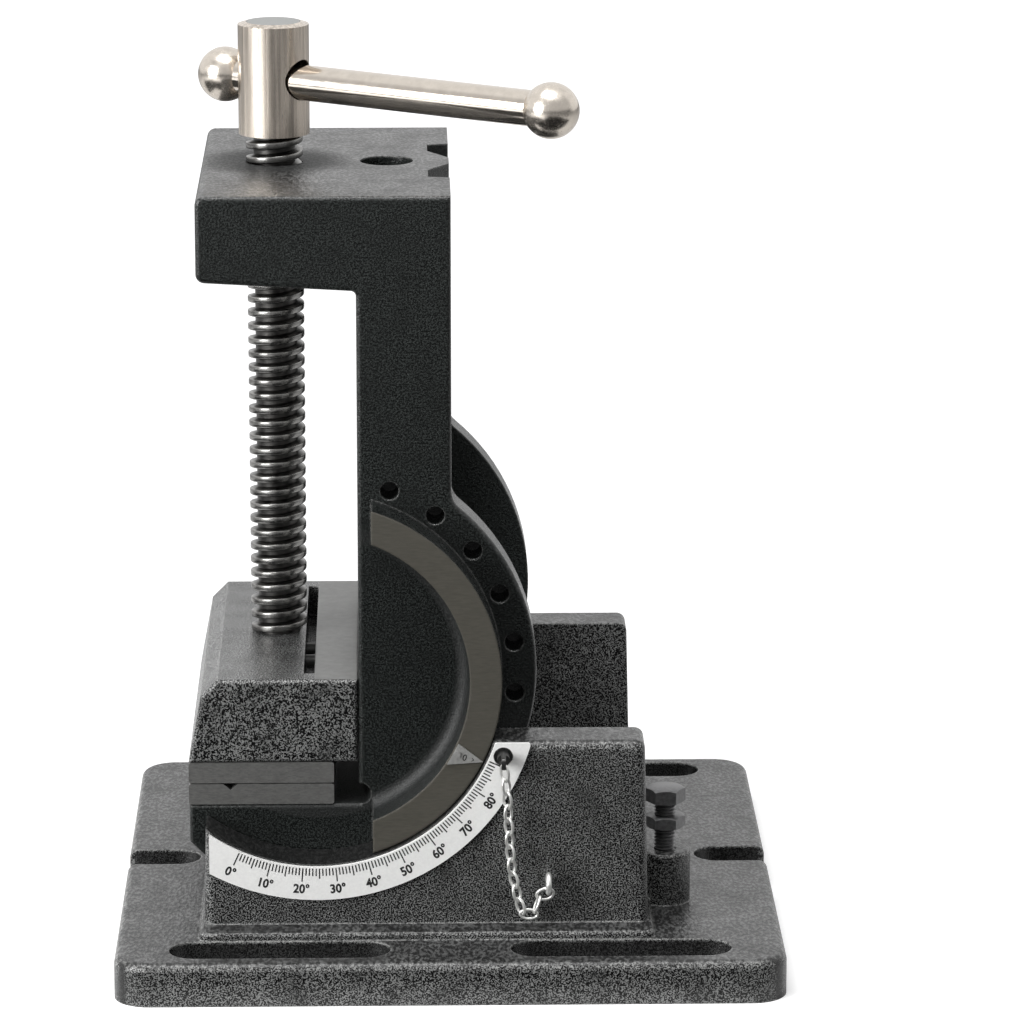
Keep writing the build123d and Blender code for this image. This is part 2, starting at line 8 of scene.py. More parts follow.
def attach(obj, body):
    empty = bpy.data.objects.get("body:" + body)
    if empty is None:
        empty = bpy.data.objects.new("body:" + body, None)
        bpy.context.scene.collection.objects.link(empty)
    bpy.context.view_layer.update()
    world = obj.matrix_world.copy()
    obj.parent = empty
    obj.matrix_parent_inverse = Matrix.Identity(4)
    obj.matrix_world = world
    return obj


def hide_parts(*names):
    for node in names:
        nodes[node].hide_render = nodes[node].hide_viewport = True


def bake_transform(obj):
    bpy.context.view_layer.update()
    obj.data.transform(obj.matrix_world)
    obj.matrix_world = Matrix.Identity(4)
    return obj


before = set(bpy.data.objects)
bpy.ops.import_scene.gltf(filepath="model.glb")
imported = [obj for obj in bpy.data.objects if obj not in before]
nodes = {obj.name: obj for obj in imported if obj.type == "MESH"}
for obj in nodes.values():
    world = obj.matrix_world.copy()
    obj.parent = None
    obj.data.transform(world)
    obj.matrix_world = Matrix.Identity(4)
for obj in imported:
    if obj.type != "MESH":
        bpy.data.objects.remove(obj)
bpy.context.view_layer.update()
scene = bpy.context.scene
print("frame loaded:", len(nodes), "CAD nodes")

# shapes are given in millimetres and materials in metres, all in the frame of the part
mm = 0.001
pivot = Vector((-36.6, 0, 83))   # tilt axis of the vise


# mesh helpers

mergeWithin, cutWithin = 0.0005, 0.0001

def finishPiece(name, bm, material, body, standsFor, sharpAngle):
    # millimetres to metres, smooth faces with sharp edges, then onto its body
    bmesh.ops.remove_doubles(bm, verts=bm.verts, dist=mergeWithin)
    bmesh.ops.recalc_face_normals(bm, faces=bm.faces)
    bmesh.ops.scale(bm, vec=(mm, mm, mm), verts=bm.verts)
    for face in bm.faces:
        face.smooth = True
    for edge in bm.edges:
        if len(edge.link_faces) == 2 and edge.calc_face_angle() > radians(sharpAngle):
            edge.smooth = False
    mesh = bpy.data.meshes.new(name)
    bm.to_mesh(mesh)
    bm.free()
    mesh.materials.append(material)
    piece = bpy.data.objects.new(name, mesh)
    scene.collection.objects.link(piece)
    if body:
        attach(piece, body)
    if standsFor:
        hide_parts(*standsFor)
    return piece


def latheProfile(bm, points, place, steps):
    # turns a profile of (radius, height) points round the upright axis, then puts it in place
    verts = [bm.verts.new((r, 0, h)) for r, h in points]
    edges = [bm.edges.new(pair) for pair in zip(verts, verts[1:])]
    before = set(bm.verts) - set(verts)
    bmesh.ops.spin(bm, geom=verts + edges, cent=(0, 0, 0), axis=(0, 0, 1), angle=2 * pi, steps=steps,
                   use_merge=True)
    bmesh.ops.remove_doubles(bm, verts=[v for v in bm.verts if v not in before], dist=mergeWithin)
    bmesh.ops.transform(bm, matrix=place, verts=[v for v in bm.verts if v not in before])


def cutThread(bm, s, bottom, top, centre, steps):
    # one pitch of the profile, spun up the axis and trimmed level at both ends
    before = set(bm.verts)
    radius, rootRadius, pitch, root, edge = s["radius"], s["rootRadius"], s["pitch"], s["root"], s["edge"]
    flank = (pitch - s["crest"] - root) / 2
    low, high = root + flank, root + flank + s["crest"]
    # the corners are rounded by shares of the edge's size
    fillet, lead, lip = edge * 0.8, edge * 0.3, edge * 0.2
    profile = [(rootRadius + fillet, 0), (rootRadius, fillet), (rootRadius, root - fillet),
               (rootRadius + fillet, root),
               (radius - edge, low - lead), (radius - lead, low + lip), (radius, low + edge),
               (radius, high - edge), (radius - lead, high - lip), (radius - edge, high + lead),
               (rootRadius + fillet, pitch)]
    verts = [bm.verts.new((r, 0, h + bottom - pitch)) for r, h in profile]
    edges = [bm.edges.new(pair) for pair in zip(verts, verts[1:])]
    turns = int((top - bottom) / pitch) + 3   # spare turns at both ends, which the cuts take off
    bmesh.ops.spin(bm, geom=verts + edges, cent=(0, 0, 0), axis=(0, 0, 1), dvec=(0, 0, pitch / steps),
                   angle=2 * pi * turns, steps=steps * turns, use_merge=False)
    bmesh.ops.remove_doubles(bm, verts=[v for v in bm.verts if v not in before], dist=mergeWithin)
    for height, keepUp in ((bottom, True), (top, False)):
        geom = [v for v in bm.verts if v not in before]
        geom += [e for e in bm.edges if e.verts[0] not in before]
        geom += [f for f in bm.faces if f.verts[0] not in before]
        cut = bmesh.ops.bisect_plane(bm, geom=geom, dist=cutWithin, plane_co=(0, 0, height), plane_no=(0, 0, 1),
                                     clear_inner=keepUp, clear_outer=not keepUp)
        rim = [g for g in cut["geom_cut"] if isinstance(g, bmesh.types.BMEdge)]
        bmesh.ops.contextual_create(bm, geom=rim)
    made = [v for v in bm.verts if v not in before]
    bmesh.ops.translate(bm, vec=(*centre, 0), verts=made)


hexagon = {"segments": 72, "faceShare": 0.96, "turnedAngle": 30}


def turnedHexagon(bm, acrossFlats, low, high, turnBottom=False):
    # a hexagon with a flat to the front, its corners turned off as on a real bolt head or nut
    apothem = acrossFlats / 2
    rim = apothem * hexagon["faceShare"]
    ring = bmesh.ops.create_circle(bm, cap_ends=False, segments=hexagon["segments"], radius=apothem)["verts"]
    for v in ring:
        around = atan2(v.co.y, v.co.x)
        reach = apothem / cos((around + pi / 2 + pi / 6) % (pi / 3) - pi / 6)
        v.co = Vector((reach * cos(around), reach * sin(around), low))
    loops = [ring]
    for _ in ("wall", "cap"):
        edges = [e for e in bm.edges if e.verts[0] in loops[-1] and e.verts[1] in loops[-1]]
        made = bmesh.ops.extrude_edge_only(bm, edges=edges)["geom"]
        loops.append([g for g in made if isinstance(g, bmesh.types.BMVert)])
        for v in loops[-1]:
            v.co.z = high
    base, wall, cap = loops
    slope = tan(radians(hexagon["turnedAngle"]))
    for v in wall:
        v.co.z -= (hypot(v.co.x, v.co.y) - rim) * slope
    if turnBottom:
        for v in base:
            v.co.z += (hypot(v.co.x, v.co.y) - rim) * slope
    for v in cap:
        v.co.xy = v.co.xy.normalized() * rim
    foot = [e for e in bm.edges if e.verts[0] in base and e.verts[1] in base]
    made = bmesh.ops.extrude_edge_only(bm, edges=foot)["geom"]
    under = [g for g in made if isinstance(g, bmesh.types.BMVert)]
    for v in under:
        v.co = Vector((*(v.co.xy.normalized() * rim), low))
    for verts in (cap, under):
        edges = [e for e in bm.edges if e.verts[0] in verts and e.verts[1] in verts]
        bmesh.ops.contextual_create(bm, geom=edges)


# material helpers

def newMaterial(name):
    material = bpy.data.materials.new(name)
    material.use_nodes = True
    tree = material.node_tree
    shader = next(n for n in tree.nodes if n.type == "BSDF_PRINCIPLED")
    return material, tree, shader


def addNode(tree, kind, inputs=(), **settings):
    node = tree.nodes.new(kind)
    for key, value in settings.items():
        setattr(node, key, value)
    for socket, value in dict(inputs).items():
        if isinstance(value, bpy.types.NodeSocket):
            tree.links.new(value, node.inputs[socket])
        else:
            node.inputs[socket].default_value = value
    return node


def objectPoint(tree, scale=(1, 1, 1), location=(0, 0, 0)):
    coords = addNode(tree, "ShaderNodeTexCoord")
    inputs = {"Vector": coords.outputs["Object"], "Scale": scale, "Location": location}
    return addNode(tree, "ShaderNodeMapping", inputs).outputs["Vector"]


def noiseAt(tree, point, scale, detail=2.0, roughness=0.5, distortion=0.0):
    inputs = {"Vector": point, "Scale": scale, "Detail": detail, "Roughness": roughness,
              "Distortion": distortion}
    return addNode(tree, "ShaderNodeTexNoise", inputs).outputs["Fac"]


def mapRange(tree, value, low, high, toLow=0.0, toHigh=1.0, smooth=False):
    inputs = {"Value": value, "From Min": low, "From Max": high, "To Min": toLow, "To Max": toHigh}
    kind = "SMOOTHSTEP" if smooth else "LINEAR"
    return addNode(tree, "ShaderNodeMapRange", inputs, interpolation_type=kind).outputs["Result"]


def mathNode(tree, operation, a, b=0.0):
    return addNode(tree, "ShaderNodeMath", {0: a, 1: b}, operation=operation).outputs[0]


def product(tree, first, *others):
    for value in others:
        first = mathNode(tree, "MULTIPLY", first, value)
    return first


# a Mix node keeps the sockets of every data type in one list, so they are named here by number

def mixColours(tree, factor, a, b):
    return addNode(tree, "ShaderNodeMix", {0: factor, 6: a, 7: b}, data_type="RGBA").outputs[2]


def mixValues(tree, factor, a, b):
    return addNode(tree, "ShaderNodeMix", {0: factor, 2: a, 3: b}, data_type="FLOAT").outputs[0]


def between(tree, value, low, high, soft=0.00004):
    # 1 where value lies from low to high, in metres
    above = mapRange(tree, value, low - soft, low + soft)
    below = mapRange(tree, value, high - soft, high + soft, 1, 0)
    return mathNode(tree, "MULTIPLY", above, below)


def addBump(tree, shader, height, strength, distance, normal=None):
    inputs = {"Height": height, "Strength": strength, "Distance": distance}
    if normal is not None:
        inputs["Normal"] = normal
    bump = addNode(tree, "ShaderNodeBump", inputs)
    tree.links.new(bump.outputs["Normal"], shader.inputs["Normal"])


screwAxis = (-0.0481, 0)   # metres


def fromScrewAxis(tree):
    # distance of a point from the upright axis of the clamping screw
    flat = objectPoint(tree, scale=(1, 1, 0), location=(-screwAxis[0], -screwAxis[1], 0))
    return addNode(tree, "ShaderNodeVectorMath", {0: flat}, operation="LENGTH").outputs["Value"]


def fromPivot(tree):
    # distance of a point from the tilt axis
    across = objectPoint(tree, scale=(1, 0, 1), location=(-pivot.x * mm, 0, -pivot.z * mm))
    return addNode(tree, "ShaderNodeVectorMath", {0: across}, operation="LENGTH").outputs["Value"]


# hammer paint, with bare machined faces where the casting has them

# two copies of one hammer paint: the base's bright pebbles on upright faces are painted glints, and the body's
# darker tones are painted shade; the jaw takes the base's copy
paints = {
    "base": {
        "dark": (0.0018, 0.0020, 0.0020, 1), "light": (0.225, 0.228, 0.225, 1),
        # the tones of level faces are set for how light falls there: painted light and shade by facing
        "darkTopAsLit": (0.010, 0.010, 0.010, 1), "lightTopAsLit": (0.110, 0.111, 0.110, 1),
        # the edge colour is partly wear and partly painted highlight; the rim colour is painted glints on
        # rounded rims
        "wornHighlight": (0.42, 0.42, 0.41, 1), "wornHighlightShare": 0.85, "rim": (0.45, 0.45, 0.44, 1), "paintedGlintShare": 0.5,
        "grain": 2500, "pebbles": (0.48, 0.57), "bumpDepth": 0.00014,
        "roughness": 0.20, "valleyRough": 0.24, "gloss": 0.45, "levelAbove": 0.005,
    },
    "body": {
        "dark": (0.0016, 0.0024, 0.0021, 1), "light": (0.030, 0.034, 0.0325, 1),
        "darkTopAsLit": (0.004, 0.004, 0.004, 1), "lightTopAsLit": (0.105, 0.105, 0.104, 1),
        "wornHighlight": (0.20, 0.20, 0.195, 1), "wornHighlightShare": 0.6, "rim": (0.10, 0.10, 0.098, 1), "paintedGlintShare": 0.3,
        "grain": 2000, "pebbles": (0.46, 0.57), "bumpDepth": 0.00013,
        "roughness": 0.20, "valleyRough": 0.30, "gloss": 0.50, "levelAbove": 0.19,
    },
}
paints["jaw"] = {**paints["base"], "levelAbove": 1.0}   # pebbled on its level faces too
# how the noises become pebbles, flecks, patches, worn edges with painted highlights, and painted glints on
# rounded rims
texture = {
    "wormDetail": 1.5, "wormTwist": 0.35,
    "fleckScale": 1150, "fleckStretch": (1, 0.45, 1), "fleckDetail": 3, "fleckRough": 0.6,
    "fleckSpan": (0.46, 0.60),
    "patchScale": 110, "patchDetail": 3, "patchSpan": (0.42, 0.75), "patchShare": 0.45,
    "levelFacing": (0.5, 0.85), "levelSoft": 0.001, "levelRough": 0.33, "levelWaves": 2.0,
    "roughSpan": (0.3, 0.7), "roughSwing": 0.04,
    "edgeRadius": 0.0008, "edgeSamples": 4, "edgeTilt": (0.985, 0.90), "edgeFlecks": (0.36, 0.56),
    "rimLow": (0.12, 0.35), "rimHigh": (0.96, 0.80), "rimFlecks": (0.44, 0.58), "rimWorms": (0.40, 0.60),
}
# painted shade in the slots of the base, and in the cradle that the ring turns in
paintedSeatShade = {
    "height": (0.0117, 0.0111), "acrossX": (0.0915, 0.0905), "alongY": (0.0965, 0.0955),
    "cradle": (0.0522, 0.0519), "colour": (0.006, 0.006, 0.006, 1), "share": 0.85,
}
# painted dark reflection round the screw, where it comes out of the block, with rougher paint there
paintedScrewReflection = {"radius": (0.025, 0.012), "share": 0.7, "rough": 0.60}
# the inner corner of each ring, made rougher and darkened: painted shade that dims its highlight
shadedFillet = {"radius": (0.0385, 0.0424), "soft": 0.0003, "share": 0.6, "rough": 0.55}
machined = {
    "ring": {"colour": (0.085, 0.080, 0.066, 1), "rough": 0.55, "metal": 0.3},
    "steel": {"colour": (0.20, 0.20, 0.195, 1), "rough": 0.4, "metal": 0.55},
}
bareFaces = {
    "ringSide": (0.06790, 0.06796),
    "railX": (-0.0252, -0.0246), "railSide": (0.0248, 0.0541), "railHeight": (0.045, 0.1890),
    "soleX": (-0.03735, -0.03725), "soleHeight": (0.08032, 0.08036),
    "grain": 420, "grainStretch": (1, 1, 6), "grainDetail": 4, "grainSpan": (0.3, 0.7), "streak": 0.12,
    "bump": 0.02,
}


def seatMask(tree, place, s):
    slots = product(tree, mapRange(tree, place["Z"], *s["height"]),
                    mapRange(tree, mathNode(tree, "ABSOLUTE", place["X"]), *s["acrossX"]),
                    mapRange(tree, mathNode(tree, "ABSOLUTE", place["Y"]), *s["alongY"]))
    return mathNode(tree, "MAXIMUM", slots, mapRange(tree, fromPivot(tree), *s["cradle"]))


def bareMasks(tree, place, s, rings, rails, sole):
    side = mathNode(tree, "ABSOLUTE", place["Y"])
    masks = []
    if rings:
        masks.append((mapRange(tree, side, *s["ringSide"]), machined["ring"]))
    if rails:
        masks.append((product(tree, between(tree, place["X"], *s["railX"]), between(tree, side, *s["railSide"]),
                              between(tree, place["Z"], *s["railHeight"])), machined["steel"]))
    if sole:
        masks.append((product(tree, mapRange(tree, place["X"], *s["soleX"]),
                              mapRange(tree, place["Z"], *s["soleHeight"])), machined["steel"]))
    return masks


def hammerPaint(name, s, bareRings=False, bareRails=False, bareSole=False, paintSeatShade=False):
    t = texture
    material, tree, shader = newMaterial(name)
    shader.inputs["Specular IOR Level"].default_value = s["gloss"]
    point = objectPoint(tree)
    place = addNode(tree, "ShaderNodeSeparateXYZ", {0: point}).outputs
    worms = noiseAt(tree, point, s["grain"], detail=t["wormDetail"], distortion=t["wormTwist"])
    flecks = noiseAt(tree, objectPoint(tree, scale=t["fleckStretch"]), t["fleckScale"], detail=t["fleckDetail"],
                     roughness=t["fleckRough"])
    patches = noiseAt(tree, point, t["patchScale"], detail=t["patchDetail"])
    pebbles = mapRange(tree, worms, *s["pebbles"], smooth=True)

    # on level faces the paint flows out into wider flecks, and gets its own tones set for how light falls on
    # tops: painted light and shade by facing
    normal = addNode(tree, "ShaderNodeTexCoord").outputs["Normal"]
    facing = addNode(tree, "ShaderNodeSeparateXYZ", {0: normal}).outputs["Z"]
    level = product(tree, mapRange(tree, facing, *t["levelFacing"], smooth=True),
                    mapRange(tree, place["Z"], s["levelAbove"], s["levelAbove"] + t["levelSoft"]))
    upright = mixColours(tree, pebbles, s["dark"], s["light"])
    topsideAsLit = mixColours(tree, mapRange(tree, flecks, *t["fleckSpan"]), s["darkTopAsLit"], s["lightTopAsLit"])
    colour = mixColours(tree, level, upright, topsideAsLit)
    colour = mixColours(tree, mapRange(tree, patches, *t["patchSpan"], 0, t["patchShare"]), colour, s["dark"])
    rough = mixValues(tree, level, mixValues(tree, pebbles, s["valleyRough"], s["roughness"]), t["levelRough"])
    rough = mathNode(tree, "ADD", rough,
                     mapRange(tree, patches, *t["roughSpan"], -t["roughSwing"], t["roughSwing"]))

    # sharp edges are lightened, partly wear and partly painted highlight, and rounded rims get painted glints
    bevel = addNode(tree, "ShaderNodeBevel", {"Radius": t["edgeRadius"]}, samples=t["edgeSamples"])
    soft = bevel.outputs["Normal"]
    flat = addNode(tree, "ShaderNodeNewGeometry").outputs["Normal"]
    tilt = addNode(tree, "ShaderNodeVectorMath", {0: soft, 1: flat}, operation="DOT_PRODUCT").outputs["Value"]
    edge = product(tree, mapRange(tree, tilt, *t["edgeTilt"]), mapRange(tree, flecks, *t["edgeFlecks"]),
                   s["wornHighlightShare"])
    colour = mixColours(tree, edge, colour, s["wornHighlight"])
    # painted glints: light flecks on rims that face up and forward, in place of highlights
    paintedGlints = product(tree, mapRange(tree, facing, *t["rimLow"]), mapRange(tree, facing, *t["rimHigh"]),
                     mapRange(tree, flecks, *t["rimFlecks"]), mapRange(tree, worms, *t["rimWorms"]),
                     s["paintedGlintShare"])
    colour = mixColours(tree, paintedGlints, colour, s["rim"])

    if paintSeatShade:
        # the slots and the cradle are darkened: painted shade in these recesses
        grime = product(tree, seatMask(tree, place, paintedSeatShade), paintedSeatShade["share"])
        colour = mixColours(tree, grime, colour, paintedSeatShade["colour"])
    if bareRails:
        # level faces round the screw are darkened, a painted dark reflection, and made rougher
        reflectionPatch = product(tree, level, mapRange(tree, fromScrewAxis(tree), *paintedScrewReflection["radius"], smooth=True))
        colour = mixColours(tree, product(tree, reflectionPatch, paintedScrewReflection["share"]), colour, s["dark"])
        rough = mixValues(tree, reflectionPatch, rough, paintedScrewReflection["rough"])
    if bareRings:
        # the ring's inner corner is darkened: painted shade that dims the highlight there
        fillet = between(tree, fromPivot(tree), *shadedFillet["radius"], shadedFillet["soft"])
        colour = mixColours(tree, product(tree, fillet, shadedFillet["share"]), colour, s["dark"])
        rough = mixValues(tree, fillet, rough, shadedFillet["rough"])

    strength = 1.0
    masks = bareMasks(tree, place, bareFaces, bareRings, bareRails, bareSole)
    if masks:
        b = bareFaces
        drawn = objectPoint(tree, scale=b["grainStretch"])
        scratches = noiseAt(tree, drawn, b["grain"], detail=b["grainDetail"])
        streak = mapRange(tree, scratches, *b["grainSpan"], 1 - b["streak"], 1 + b["streak"])
        metal = 0.0
        for mask, bare in masks:
            tinted = addNode(tree, "ShaderNodeHueSaturation", {"Color": bare["colour"], "Value": streak})
            colour = mixColours(tree, mask, colour, tinted.outputs["Color"])
            rough = mixValues(tree, mask, rough, bare["rough"])
            metal = mixValues(tree, mask, metal, bare["metal"])
            strength = mixValues(tree, mask, strength, b["bump"])
        tree.links.new(metal, shader.inputs["Metallic"])
    waves = mixValues(tree, level, worms, product(tree, flecks, t["levelWaves"]))
    addBump(tree, shader, waves, strength, s["bumpDepth"], soft)
    tree.links.new(colour, shader.inputs["Base Color"])
    tree.links.new(rough, shader.inputs["Roughness"])
    return material


# plain metals, plate and ink
# tone and roughSwing say how far the grain moves the colour and the roughness

metals = {
    "groundSteel": {"colour": (0.145, 0.145, 0.140, 1), "rough": 0.42, "metal": 0.35, "stretch": (1, 1, 3),
                    "grain": 900, "tone": 0.22, "roughSwing": 0.06, "bump": 0.15},
    "nickelBar": {"colour": (0.68, 0.62, 0.55, 1), "rough": 0.14, "metal": 1.0, "stretch": (1, 1, 1),
                  "grain": 300, "tone": 0.06, "roughSwing": 0.02, "bump": 0},
    "nickelBall": {"colour": (0.68, 0.62, 0.55, 1), "rough": 0.25, "metal": 1.0, "stretch": (1, 1, 1),
                   "grain": 600, "tone": 0.08, "roughSwing": 0.05, "bump": 0},
    "brightZinc": {"colour": (0.86, 0.86, 0.84, 1), "rough": 0.36, "metal": 0.75, "stretch": (1, 1, 1),
                   "grain": 700, "tone": 0.08, "roughSwing": 0.05, "bump": 0},
    "dullPin": {"colour": (0.10, 0.10, 0.098, 1), "rough": 0.42, "metal": 1.0, "stretch": (1, 1, 1),
                "grain": 900, "tone": 0.25, "roughSwing": 0.08, "bump": 0},
    "blackOxide": {"colour": (0.15, 0.15, 0.152, 1), "rough": 0.38, "metal": 0.45, "stretch": (1, 1, 1),
                   "grain": 900, "tone": 0.3, "roughSwing": 0.06, "bump": 0.1},
    "satinPlate": {"colour": (0.93, 0.93, 0.915, 1), "rough": 0.5, "metal": 0.1, "stretch": (1, 1, 1),
                   "grain": 1500, "tone": 0.04, "roughSwing": 0.06, "bump": 0},
    "pointerPlate": {"colour": (0.36, 0.36, 0.35, 1), "rough": 0.45, "metal": 0.4, "stretch": (1, 1, 1),
                     "grain": 1500, "tone": 0.15, "roughSwing": 0.06, "bump": 0},
    "blackInk": {"colour": (0.012, 0.012, 0.012, 1), "rough": 0.5, "metal": 0.0, "stretch": (1, 1, 1),
                 "grain": 2000, "tone": 0.2, "roughSwing": 0.05, "bump": 0},
}
streaking = {"span": (0.3, 0.7), "bumpDepth": 0.00005}
fineGrain = {"detail": 4, "roughness": 0.6}


def metalFinish(name, s):
    material, tree, shader = newMaterial(name)
    streaks = noiseAt(tree, objectPoint(tree, scale=s["stretch"]), s["grain"], **fineGrain)
    darker = tuple(c * (1 - s["tone"]) for c in s["colour"][:3]) + (1,)
    lighter = tuple(min(1, c * (1 + s["tone"])) for c in s["colour"][:3]) + (1,)
    shade = mixColours(tree, mapRange(tree, streaks, *streaking["span"]), darker, lighter)
    swing = s["roughSwing"]
    rough = mapRange(tree, streaks, *streaking["span"], s["rough"] - swing, s["rough"] + swing)
    tree.links.new(shade, shader.inputs["Base Color"])
    tree.links.new(rough, shader.inputs["Roughness"])
    shader.inputs["Metallic"].default_value = s["metal"]
    if s["bump"]:
        addBump(tree, shader, streaks, s["bump"], streaking["bumpDepth"])
    return material


castingHammerGlintCopy = hammerPaint("hammerPaint", paints["base"], paintSeatShade=True)
bodyHammerShadedCopy = hammerPaint("hammerPaintWithBareRings", paints["body"], bareRings=True, bareRails=True)
jawHammer = hammerPaint("hammerPaintWithBareSole", paints["jaw"], bareSole=True)
made = {name: metalFinish(name, s) for name, s in metals.items()}


# oiled thread of the clamping screw: bright worn crests, dark roots

thread = {
    "crestColour": (0.30, 0.295, 0.285, 1), "rootColour": (0.085, 0.083, 0.080, 1),
    "grime": (0.02, 0.019, 0.018, 1), "rootAt": 0.0061, "crestAt": 0.0077,
    "crestRough": 0.26, "rootRough": 0.36, "lineStretch": (0.4, 0.4, 4), "lines": 700,
    "lineSpan": (0.55, 0.75), "lineShare": 0.6, "blots": 260, "blotDetail": 3, "blotSpan": (0.50, 0.72),
    "blotShare": 0.75, "bump": 0.25, "bumpDepth": 0.00008,
}


def threadFinish(s):
    material, tree, shader = newMaterial("oiledThread")
    crest = mapRange(tree, fromScrewAxis(tree), s["rootAt"], s["crestAt"])
    lines = noiseAt(tree, objectPoint(tree, scale=s["lineStretch"]), s["lines"], **fineGrain)
    blots = noiseAt(tree, objectPoint(tree), s["blots"], detail=s["blotDetail"])
    colour = mixColours(tree, crest, s["rootColour"], s["crestColour"])
    colour = mixColours(tree, mapRange(tree, lines, *s["lineSpan"], 0, s["lineShare"]), colour, s["grime"])
    colour = mixColours(tree, mapRange(tree, blots, *s["blotSpan"], 0, s["blotShare"]), colour, s["grime"])
    tree.links.new(colour, shader.inputs["Base Color"])
    tree.links.new(mixValues(tree, crest, s["rootRough"], s["crestRough"]), shader.inputs["Roughness"])
    shader.inputs["Metallic"].default_value = 1.0
    addBump(tree, shader, lines, s["bump"], s["bumpDepth"])
    return material


# nickel hub: drawn sides, and on top the matte end of the screw inside its joint line

hub = {
    "colour": (0.70, 0.625, 0.545, 1), "disc": (0.27, 0.275, 0.27, 1), "joint": (0.07, 0.07, 0.068, 1),
    "discFrom": 0.25632, "discTo": 0.25636, "discRadius": 0.0074, "discSoft": 0.00003,
    "jointWidth": 0.00022, "jointSoft": 0.00006, "discRough": 0.5, "discMetal": 0.0,
    "drawnStretch": (1, 1, 0.02), "drawn": 1100, "toneSpan": (0.36, 0.64), "tones": (0.70, 1.16),
    "roughSpan": (0.3, 0.7), "roughs": (0.22, 0.30),
}


def hubFinish(s):
    material, tree, shader = newMaterial("nickelHub")
    height = addNode(tree, "ShaderNodeSeparateXYZ", {0: objectPoint(tree)}).outputs["Z"]
    radius = fromScrewAxis(tree)
    rim, soft = s["discRadius"], s["discSoft"]
    up = mapRange(tree, height, s["discFrom"], s["discTo"])
    disc = product(tree, up, mapRange(tree, radius, rim - soft, rim + soft, 1, 0))
    joint = product(tree, up, between(tree, radius, rim, rim + s["jointWidth"], s["jointSoft"]))
    drawn = noiseAt(tree, objectPoint(tree, scale=s["drawnStretch"]), s["drawn"], **fineGrain)
    tone = mapRange(tree, drawn, *s["toneSpan"], *s["tones"])
    sides = addNode(tree, "ShaderNodeHueSaturation", {"Color": s["colour"], "Value": tone}).outputs["Color"]
    colour = mixColours(tree, joint, mixColours(tree, disc, sides, s["disc"]), s["joint"])
    tree.links.new(colour, shader.inputs["Base Color"])
    smooth = mapRange(tree, drawn, *s["roughSpan"], *s["roughs"])
    tree.links.new(mixValues(tree, disc, smooth, s["discRough"]), shader.inputs["Roughness"])
    tree.links.new(mixValues(tree, disc, 1.0, s["discMetal"]), shader.inputs["Metallic"])
    return material


threadSteel = threadFinish(thread)
nickelHub = hubFinish(hub)
print("materials made")


# clamping screw with its real thread

leadScrew = {
    "centre": (-48.1, 0), "radius": 8.0, "rootRadius": 5.9, "pitch": 4.0, "crest": 1.65, "root": 1.45,
    "edge": 0.24, "bottom": 80.7, "top": 224.8, "steps": 44, "turnedSteps": 48, "neckRadius": 6.0,
    "neckBottom": 63.7, "neckChamfer": 1.0, "spigotTop": 232.6, "grooveRadius": 4.0, "grooveLow": 70.2,
    "grooveHigh": 74.6,
}


def makeLeadScrew(s):
    # the neck below the thread has a groove for the retaining pins, the spigot above it sits in the hub
    bm = bmesh.new()
    cutThread(bm, s, s["bottom"], s["top"], s["centre"], s["steps"])
    neck, groove, spigot, chamfer = s["neckRadius"], s["grooveRadius"], s["rootRadius"], s["neckChamfer"]
    foot = [(0, s["neckBottom"]), (neck - chamfer, s["neckBottom"]), (neck, s["neckBottom"] + chamfer),
            (neck, s["grooveLow"]), (groove, s["grooveLow"]), (groove, s["grooveHigh"]),
            (neck, s["grooveHigh"]), (neck, s["bottom"]), (0, s["bottom"])]
    head = [(0, s["top"]), (spigot, s["top"]), (spigot, s["spigotTop"]), (0, s["spigotTop"])]
    place = Matrix.Translation((*s["centre"], 0))
    latheProfile(bm, foot, place, s["turnedSteps"])
    latheProfile(bm, head, place, s["turnedSteps"])
    finishPiece("leadScrewThread", bm, threadSteel, "screw", ["vise_screw"],
                sharpAngle=40)


makeLeadScrew(leadScrew)
print("clamping screw made")


# marks and digits on the angle scale

scaleMarks = {
    "face": -71.0, "proud": 0.03, "zeroAt": 114.5, "innerRadius": 52.3, "short": 2.1, "middle": 2.9,
    "long": 3.9, "line": 0.36, "end": 91, "digitRadius": 58.4, "digitHeight": 2.55, "stroke": 0.12,
    "digitsEnd": 90,
}
lettering = {"sizeToHeight": 1.38, "squeeze": 0.92, "curveSteps": 3}


def addText(bm, words, height, place, proud, stroke):
    curve = bpy.data.curves.new("digits", "FONT")
    curve.body = words
    curve.size = height * lettering["sizeToHeight"]
    curve.offset = stroke
    curve.extrude = proud / 2
    curve.align_x = "CENTER"
    curve.align_y = "CENTER"
    curve.resolution_u = lettering["curveSteps"]
    holder = bpy.data.objects.new("digits", curve)
    scene.collection.objects.link(holder)
    bpy.context.view_layer.update()
    mesh = bpy.data.meshes.new_from_object(holder.evaluated_get(bpy.context.evaluated_depsgraph_get()))
    mesh.transform(place @ Matrix.Diagonal((lettering["squeeze"], 1, 1, 1)))
    bm.from_mesh(mesh)
    bpy.data.objects.remove(holder)
    bpy.data.curves.remove(curve)
    bpy.data.meshes.remove(mesh)


